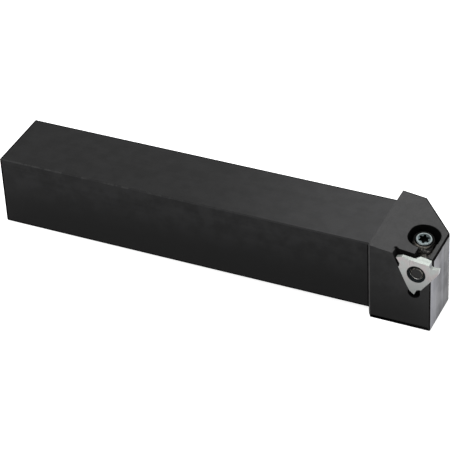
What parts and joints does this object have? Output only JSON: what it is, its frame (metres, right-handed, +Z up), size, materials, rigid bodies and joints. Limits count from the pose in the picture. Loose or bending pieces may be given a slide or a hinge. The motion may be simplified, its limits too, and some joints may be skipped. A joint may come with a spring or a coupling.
{
  "type": "turning tool holder",
  "caption": "Square-shank external turning tool holder with an on-edge three-cornered insert in a side pocket, held by a screw-driven pull clamp.",
  "frame": {"origin": "middle of the shank's bottom face, half way along the 129.5 mm shank", "axes": "+X along the shank towards the cutting end, +Z up out of the shank's top, -Y towards the side that carries the insert"},
  "size_m": [0.1528, 0.031, 0.028],
  "materials": {
    "holder": "satin",
    "insert": "satin",
    "clamp": "satin",
    "clamp_screw": "satin",
    "retaining_ring": "satin"
  },
  "bodies": {
    "holder": {"holder": "holder", "insert": "insert"},
    "clamp": {"clamp": "clamp"},
    "clamp_screw": {"clamp_screw": "clamp_screw", "retaining_ring": "retaining_ring"}
  },
  "joints": [
    {"name": "clamp_lift", "type": "slide", "parent": "holder", "child": "clamp", "axis": [0.1204, -0.1564, 0.9803], "range_m": [0, 0.00045]},
    {"name": "clamp_screw_turn", "type": "hinge", "parent": "clamp", "child": "clamp_screw", "pos_m": [0.0787, -0.0009, 0.02329], "axis": [0.1204, -0.1564, 0.9803], "range_deg": [0, 231.5]}
  ],
  "couplings": [
    {"joint": "clamp_screw_turn", "follows": "clamp_lift", "rad_per_m": 8976}
  ]
}
